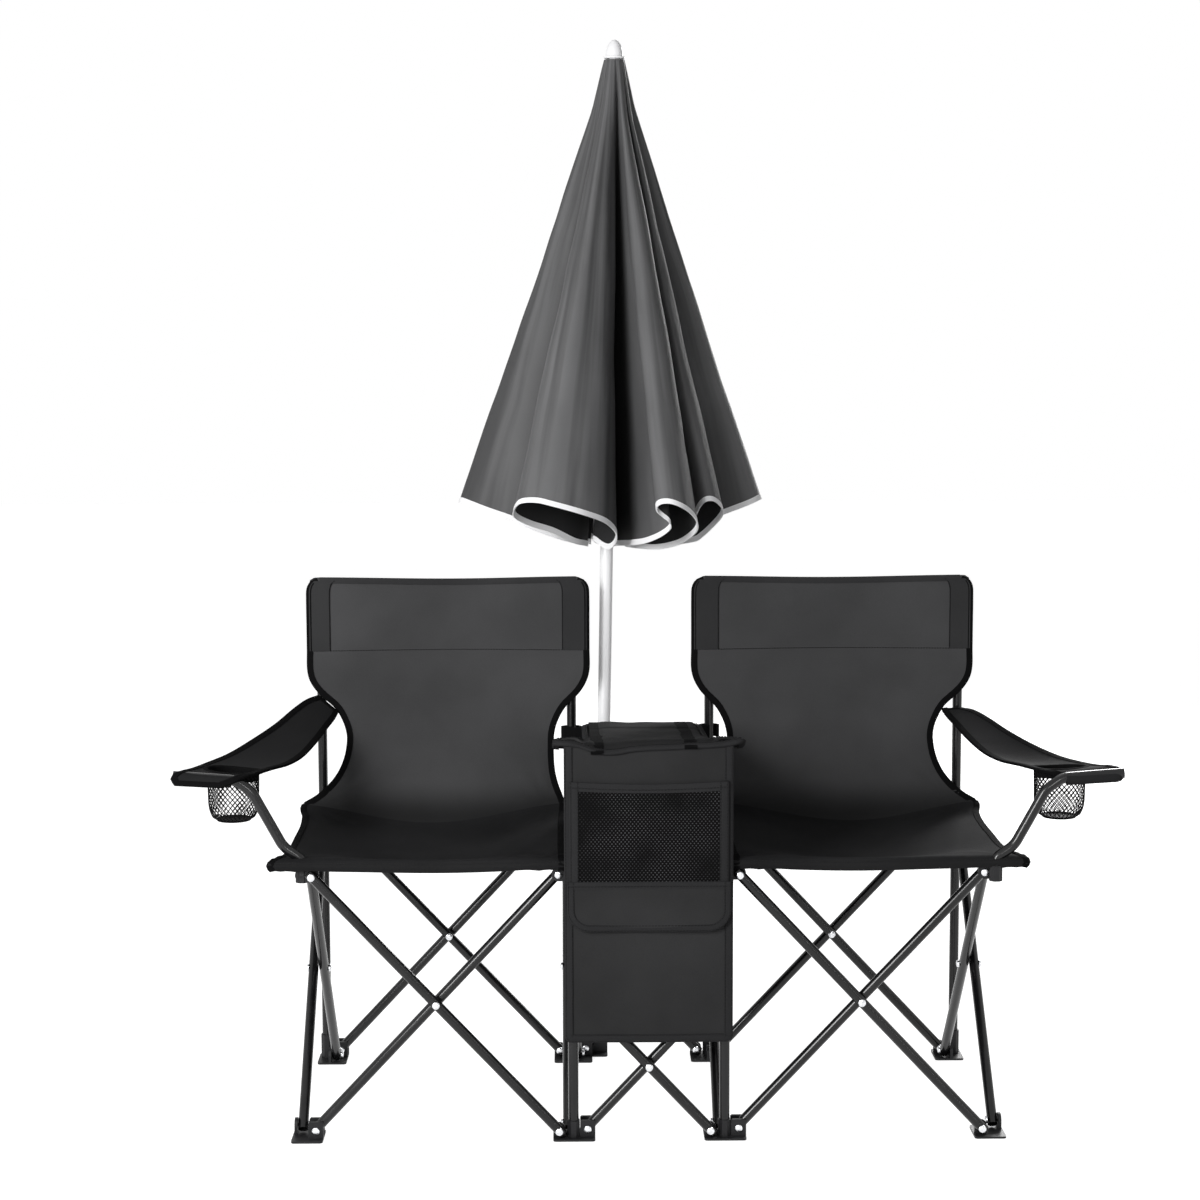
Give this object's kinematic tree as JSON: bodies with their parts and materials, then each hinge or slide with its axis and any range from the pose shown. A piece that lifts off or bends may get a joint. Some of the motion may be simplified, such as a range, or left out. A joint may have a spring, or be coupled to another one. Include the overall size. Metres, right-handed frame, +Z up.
{
  "type": "folding camping loveseat",
  "caption": "Folding camping loveseat: two fabric seats on crossed tubes joined by a lidded console bag, with cup-holder armrests and an upright closed umbrella.",
  "frame": {"origin": "On the ground, below the middle of the bounding box of the opened seat with its umbrella.", "axes": "+Z up, the seats face -Y, +X is to the right for someone who looks at the front of the seats."},
  "size_m": [1.4532, 0.7458, 1.7267],
  "materials": {
    "tube_black": "glossy black powder coat on steel tube",
    "moulded_plastic": "black moulded plastic, the rivets in it bright zinc",
    "seat_cloth": "charcoal woven polyester with black binding",
    "canopy_cloth": "charcoal canopy cloth with a white hem",
    "white_tube": "smooth white lacquer",
    "white_plastic": "white moulded plastic"
  },
  "bodies": {
    "base": {"foot_front_inner_left": "moulded_plastic", "post_front_left": "tube_black"},
    "left_front_inner_foot_brace": {"brace_left_front_a": "tube_black"},
    "left_front_outer_foot_brace": {"brace_left_front_b": "tube_black"},
    "left_front_outer_foot": {"foot_front_outer_left": "moulded_plastic"},
    "left_front_slider": {"slider_front_left": "moulded_plastic"},
    "left_arm": {"bracket_front_left": "moulded_plastic", "arm_post_left": "tube_black", "armrest_left": "seat_cloth"},
    "left_outer_rear_rising": {"brace_left_outer_a": "tube_black"},
    "left_outer_front_rising": {"brace_left_outer_b": "tube_black"},
    "left_rear_outer": {"foot_rear_outer_left": "moulded_plastic", "post_rear_outer_left": "tube_black"},
    "left_rear_outer_slider": {"slider_rear_outer_left": "moulded_plastic"},
    "left_inner_rear_rising": {"brace_left_inner_a": "tube_black"},
    "left_inner_front_rising": {"brace_left_inner_b": "tube_black"},
    "left_rear_inner": {"foot_rear_inner_left": "moulded_plastic", "post_rear_inner_left": "tube_black", "sling_left": "seat_cloth", "console_bag": "seat_cloth"},
    "left_rear_inner_slider": {"slider_rear_inner_left": "moulded_plastic"},
    "left_rear_inner_foot_brace": {"brace_left_rear_a": "tube_black"},
    "left_rear_outer_foot_brace": {"brace_left_rear_b": "tube_black"},
    "centre_front_left_foot_brace": {"brace_centre_front_b": "tube_black"},
    "centre_front_right_foot_brace": {"brace_centre_front_a": "tube_black"},
    "front_right_inner": {"foot_front_inner_right": "moulded_plastic", "post_front_right": "tube_black"},
    "centre_front_left_slider": {"slider_centre_front_left": "moulded_plastic"},
    "centre_front_right_slider": {"slider_centre_front_right": "moulded_plastic"},
    "right_front_inner_foot_brace": {"brace_right_front_b": "tube_black"},
    "right_front_outer_foot_brace": {"brace_right_front_a": "tube_black"},
    "right_front_outer_foot": {"foot_front_outer_right": "moulded_plastic"},
    "right_front_slider": {"slider_front_right": "moulded_plastic"},
    "right_arm": {"bracket_front_right": "moulded_plastic", "arm_post_right": "tube_black", "armrest_right": "seat_cloth"},
    "right_outer_rear_rising": {"brace_right_outer_a": "tube_black"},
    "right_outer_front_rising": {"brace_right_outer_b": "tube_black"},
    "right_rear_outer": {"foot_rear_outer_right": "moulded_plastic", "post_rear_outer_right": "tube_black"},
    "right_rear_outer_slider": {"slider_rear_outer_right": "moulded_plastic"},
    "right_inner_rear_rising": {"brace_right_inner_a": "tube_black"},
    "right_inner_front_rising": {"brace_right_inner_b": "tube_black"},
    "right_rear_inner": {"foot_rear_inner_right": "moulded_plastic", "post_rear_inner_right": "tube_black", "sling_right": "seat_cloth"},
    "right_rear_inner_slider": {"slider_rear_inner_right": "moulded_plastic"},
    "right_rear_inner_foot_brace": {"brace_right_rear_b": "tube_black"},
    "right_rear_outer_foot_brace": {"brace_right_rear_a": "tube_black"},
    "centre_rear_left_foot_brace": {"brace_centre_rear_b": "tube_black"},
    "centre_rear_right_foot_brace": {"brace_centre_rear_a": "tube_black"},
    "centre_rear_left_slider": {"slider_centre_rear_left": "moulded_plastic"},
    "centre_rear_right_slider": {"slider_centre_rear_right": "moulded_plastic"},
    "lid": {"console_lid": "seat_cloth"},
    "umbrella": {"umbrella_pole_lower": "white_tube", "umbrella_pole_upper": "white_tube", "umbrella_finial": "white_plastic", "umbrella_ribs": "white_tube", "umbrella_runner": "white_plastic", "umbrella_canopy": "canopy_cloth"}
  },
  "joints": [
    {"name": "main_fold", "type": "hinge", "parent": "base", "child": "left_front_inner_foot_brace", "pos_m": [-0.139, -0.3484, 0.015], "axis": [0, 1, 0], "range_deg": [0, 39], "deforming": ["sling_left", "sling_right", "armrest_left", "armrest_right", "console_bag", "console_lid"]},
    {"name": "left_front_cross", "type": "hinge", "parent": "left_front_inner_foot_brace", "child": "left_front_outer_foot_brace", "pos_m": [-0.3275, -0.3399, 0.216], "axis": [0, 1, 0], "range_deg": [-79, 1]},
    {"name": "left_front_outer_foot_turn", "type": "hinge", "parent": "left_front_outer_foot_brace", "child": "left_front_outer_foot", "pos_m": [-0.516, -0.3314, 0.015], "axis": [0, 1, 0], "range_deg": [-1, 40]},
    {"name": "left_front_slider_turn", "type": "hinge", "parent": "left_front_outer_foot_brace", "child": "left_front_slider", "pos_m": [-0.139, -0.3314, 0.417], "axis": [0, 1, 0], "range_deg": [-1, 40]},
    {"name": "left_arm_turn", "type": "hinge", "parent": "left_front_inner_foot_brace", "child": "left_arm", "pos_m": [-0.516, -0.3484, 0.417], "axis": [0, 1, 0], "range_deg": [-40, 1]},
    {"name": "left_outer_fold", "type": "hinge", "parent": "left_front_outer_foot", "child": "left_outer_rear_rising", "pos_m": [-0.5385, -0.3119, 0.015], "axis": [1, 0, 0], "range_deg": [-1, 40]},
    {"name": "left_outer_cross", "type": "hinge", "parent": "left_outer_rear_rising", "child": "left_outer_front_rising", "pos_m": [-0.53, -0.1234, 0.216], "axis": [1, 0, 0], "range_deg": [-79, 1]},
    {"name": "left_rear_outer_turn", "type": "hinge", "parent": "left_outer_front_rising", "child": "left_rear_outer", "pos_m": [-0.5215, 0.0651, 0.015], "axis": [1, 0, 0], "range_deg": [-1, 40]},
    {"name": "left_rear_outer_slider_turn", "type": "hinge", "parent": "left_outer_rear_rising", "child": "left_rear_outer_slider", "pos_m": [-0.5385, 0.0651, 0.417], "axis": [1, 0, 0], "range_deg": [-40, 1]},
    {"name": "left_inner_fold", "type": "hinge", "parent": "base", "child": "left_inner_rear_rising", "pos_m": [-0.1255, -0.3119, 0.015], "axis": [1, 0, 0], "range_deg": [-1, 40]},
    {"name": "left_inner_cross", "type": "hinge", "parent": "left_inner_rear_rising", "child": "left_inner_front_rising", "pos_m": [-0.117, -0.1234, 0.216], "axis": [1, 0, 0], "range_deg": [-79, 1]},
    {"name": "left_rear_inner_turn", "type": "hinge", "parent": "left_inner_front_rising", "child": "left_rear_inner", "pos_m": [-0.1085, 0.0651, 0.015], "axis": [1, 0, 0], "range_deg": [-1, 40]},
    {"name": "left_rear_inner_slider_turn", "type": "hinge", "parent": "left_inner_rear_rising", "child": "left_rear_inner_slider", "pos_m": [-0.1255, 0.0651, 0.417], "axis": [1, 0, 0], "range_deg": [-40, 1]},
    {"name": "left_rear_fold", "type": "hinge", "parent": "left_rear_inner", "child": "left_rear_inner_foot_brace", "pos_m": [-0.139, 0.0846, 0.015], "axis": [0, 1, 0], "range_deg": [-1, 40]},
    {"name": "left_rear_cross", "type": "hinge", "parent": "left_rear_inner_foot_brace", "child": "left_rear_outer_foot_brace", "pos_m": [-0.3275, 0.0931, 0.216], "axis": [0, 1, 0], "range_deg": [-79, 1]},
    {"name": "center_fold", "type": "hinge", "parent": "base", "child": "centre_front_left_foot_brace", "pos_m": [-0.095, -0.3314, 0.015], "axis": [0, -1, 0], "range_deg": [0, 32], "deforming": ["console_bag", "console_lid"]},
    {"name": "centre_front_cross", "type": "hinge", "parent": "centre_front_left_foot_brace", "child": "centre_front_right_foot_brace", "pos_m": [0, -0.3399, 0.11629], "axis": [0, -1, 0], "range_deg": [-65, 1]},
    {"name": "front_right_inner_turn", "type": "hinge", "parent": "centre_front_right_foot_brace", "child": "front_right_inner", "pos_m": [0.095, -0.3484, 0.015], "axis": [0, -1, 0], "range_deg": [-1, 33]},
    {"name": "centre_front_left_slider_turn", "type": "hinge", "parent": "centre_front_right_foot_brace", "child": "centre_front_left_slider", "pos_m": [-0.095, -0.3484, 0.21758], "axis": [0, -1, 0], "range_deg": [-1, 33]},
    {"name": "centre_front_right_slider_turn", "type": "hinge", "parent": "centre_front_left_foot_brace", "child": "centre_front_right_slider", "pos_m": [0.095, -0.3314, 0.21758], "axis": [0, -1, 0], "range_deg": [-33, 1]},
    {"name": "right_front_fold", "type": "hinge", "parent": "front_right_inner", "child": "right_front_inner_foot_brace", "pos_m": [0.139, -0.3314, 0.015], "axis": [0, 1, 0], "range_deg": [-40, 1]},
    {"name": "right_front_cross", "type": "hinge", "parent": "right_front_inner_foot_brace", "child": "right_front_outer_foot_brace", "pos_m": [0.3275, -0.3399, 0.216], "axis": [0, 1, 0], "range_deg": [-1, 79]},
    {"name": "right_front_outer_foot_turn", "type": "hinge", "parent": "right_front_outer_foot_brace", "child": "right_front_outer_foot", "pos_m": [0.516, -0.3484, 0.015], "axis": [0, 1, 0], "range_deg": [-40, 1]},
    {"name": "right_front_slider_turn", "type": "hinge", "parent": "right_front_outer_foot_brace", "child": "right_front_slider", "pos_m": [0.139, -0.3484, 0.417], "axis": [0, 1, 0], "range_deg": [-40, 1]},
    {"name": "right_arm_turn", "type": "hinge", "parent": "right_front_inner_foot_brace", "child": "right_arm", "pos_m": [0.516, -0.3314, 0.417], "axis": [0, 1, 0], "range_deg": [-1, 40]},
    {"name": "right_outer_fold", "type": "hinge", "parent": "right_front_outer_foot", "child": "right_outer_rear_rising", "pos_m": [0.5385, -0.3119, 0.015], "axis": [1, 0, 0], "range_deg": [-1, 40]},
    {"name": "right_outer_cross", "type": "hinge", "parent": "right_outer_rear_rising", "child": "right_outer_front_rising", "pos_m": [0.53, -0.1234, 0.216], "axis": [1, 0, 0], "range_deg": [-79, 1]},
    {"name": "right_rear_outer_turn", "type": "hinge", "parent": "right_outer_front_rising", "child": "right_rear_outer", "pos_m": [0.5215, 0.0651, 0.015], "axis": [1, 0, 0], "range_deg": [-1, 40]},
    {"name": "right_rear_outer_slider_turn", "type": "hinge", "parent": "right_outer_rear_rising", "child": "right_rear_outer_slider", "pos_m": [0.5385, 0.0651, 0.417], "axis": [1, 0, 0], "range_deg": [-40, 1]},
    {"name": "right_inner_fold", "type": "hinge", "parent": "front_right_inner", "child": "right_inner_rear_rising", "pos_m": [0.1085, -0.3119, 0.015], "axis": [1, 0, 0], "range_deg": [-1, 40]},
    {"name": "right_inner_cross", "type": "hinge", "parent": "right_inner_rear_rising", "child": "right_inner_front_rising", "pos_m": [0.117, -0.1234, 0.216], "axis": [1, 0, 0], "range_deg": [-79, 1]},
    {"name": "right_rear_inner_turn", "type": "hinge", "parent": "right_inner_front_rising", "child": "right_rear_inner", "pos_m": [0.1255, 0.0651, 0.015], "axis": [1, 0, 0], "range_deg": [-1, 40]},
    {"name": "right_rear_inner_slider_turn", "type": "hinge", "parent": "right_inner_rear_rising", "child": "right_rear_inner_slider", "pos_m": [0.1085, 0.0651, 0.417], "axis": [1, 0, 0], "range_deg": [-40, 1]},
    {"name": "right_rear_fold", "type": "hinge", "parent": "right_rear_inner", "child": "right_rear_inner_foot_brace", "pos_m": [0.139, 0.1016, 0.015], "axis": [0, 1, 0], "range_deg": [-40, 1]},
    {"name": "right_rear_cross", "type": "hinge", "parent": "right_rear_inner_foot_brace", "child": "right_rear_outer_foot_brace", "pos_m": [0.3275, 0.0931, 0.216], "axis": [0, 1, 0], "range_deg": [-1, 79]},
    {"name": "centre_rear_fold", "type": "hinge", "parent": "left_rear_inner", "child": "centre_rear_left_foot_brace", "pos_m": [-0.095, 0.1016, 0.015], "axis": [0, -1, 0], "range_deg": [-1, 33]},
    {"name": "centre_rear_cross", "type": "hinge", "parent": "centre_rear_left_foot_brace", "child": "centre_rear_right_foot_brace", "pos_m": [0, 0.0931, 0.11629], "axis": [0, -1, 0], "range_deg": [-65, 1]},
    {"name": "centre_rear_left_slider_turn", "type": "hinge", "parent": "centre_rear_right_foot_brace", "child": "centre_rear_left_slider", "pos_m": [-0.095, 0.0846, 0.21758], "axis": [0, -1, 0], "range_deg": [-1, 33]},
    {"name": "centre_rear_right_slider_turn", "type": "hinge", "parent": "centre_rear_left_foot_brace", "child": "centre_rear_right_slider", "pos_m": [0.095, 0.1016, 0.21758], "axis": [0, -1, 0], "range_deg": [-33, 1]},
    {"name": "lid_open", "type": "hinge", "parent": "left_rear_inner", "child": "lid", "pos_m": [0, 0.0321, 0.586], "axis": [-1, 0, 0], "range_deg": [0, 60]},
    {"name": "umbrella_lift", "type": "slide", "parent": "left_rear_inner", "child": "umbrella", "axis": [0.0181, 0, 0.9998], "range_m": [0, 0.25]}
  ],
  "couplings": [
    {"joint": "left_front_cross", "follows": "main_fold", "ratio": -2},
    {"joint": "left_front_outer_foot_turn", "follows": "main_fold", "ratio": 1},
    {"joint": "left_front_slider_turn", "follows": "main_fold", "ratio": 1},
    {"joint": "left_arm_turn", "follows": "main_fold", "ratio": -1},
    {"joint": "left_outer_fold", "follows": "main_fold", "ratio": 1},
    {"joint": "left_outer_cross", "follows": "main_fold", "ratio": -2},
    {"joint": "left_rear_outer_turn", "follows": "main_fold", "ratio": 1},
    {"joint": "left_rear_outer_slider_turn", "follows": "main_fold", "ratio": -1},
    {"joint": "left_inner_fold", "follows": "main_fold", "ratio": 1},
    {"joint": "left_inner_cross", "follows": "main_fold", "ratio": -2},
    {"joint": "left_rear_inner_turn", "follows": "main_fold", "ratio": 1},
    {"joint": "left_rear_inner_slider_turn", "follows": "main_fold", "ratio": -1},
    {"joint": "left_rear_fold", "follows": "main_fold", "ratio": 1},
    {"joint": "left_rear_cross", "follows": "main_fold", "ratio": -2},
    {"joint": "centre_front_cross", "follows": "center_fold", "ratio": -2},
    {"joint": "front_right_inner_turn", "follows": "center_fold", "ratio": 1},
    {"joint": "centre_front_left_slider_turn", "follows": "center_fold", "ratio": 1},
    {"joint": "centre_front_right_slider_turn", "follows": "center_fold", "ratio": -1},
    {"joint": "right_front_fold", "follows": "main_fold", "ratio": -1},
    {"joint": "right_front_cross", "follows": "main_fold", "ratio": 2},
    {"joint": "right_front_outer_foot_turn", "follows": "main_fold", "ratio": -1},
    {"joint": "right_front_slider_turn", "follows": "main_fold", "ratio": -1},
    {"joint": "right_arm_turn", "follows": "main_fold", "ratio": 1},
    {"joint": "right_outer_fold", "follows": "main_fold", "ratio": 1},
    {"joint": "right_outer_cross", "follows": "main_fold", "ratio": -2},
    {"joint": "right_rear_outer_turn", "follows": "main_fold", "ratio": 1},
    {"joint": "right_rear_outer_slider_turn", "follows": "main_fold", "ratio": -1},
    {"joint": "right_inner_fold", "follows": "main_fold", "ratio": 1},
    {"joint": "right_inner_cross", "follows": "main_fold", "ratio": -2},
    {"joint": "right_rear_inner_turn", "follows": "main_fold", "ratio": 1},
    {"joint": "right_rear_inner_slider_turn", "follows": "main_fold", "ratio": -1},
    {"joint": "right_rear_fold", "follows": "main_fold", "ratio": -1},
    {"joint": "right_rear_cross", "follows": "main_fold", "ratio": 2},
    {"joint": "centre_rear_fold", "follows": "center_fold", "ratio": 1},
    {"joint": "centre_rear_cross", "follows": "center_fold", "ratio": -2},
    {"joint": "centre_rear_left_slider_turn", "follows": "center_fold", "ratio": 1},
    {"joint": "centre_rear_right_slider_turn", "follows": "center_fold", "ratio": -1}
  ]
}
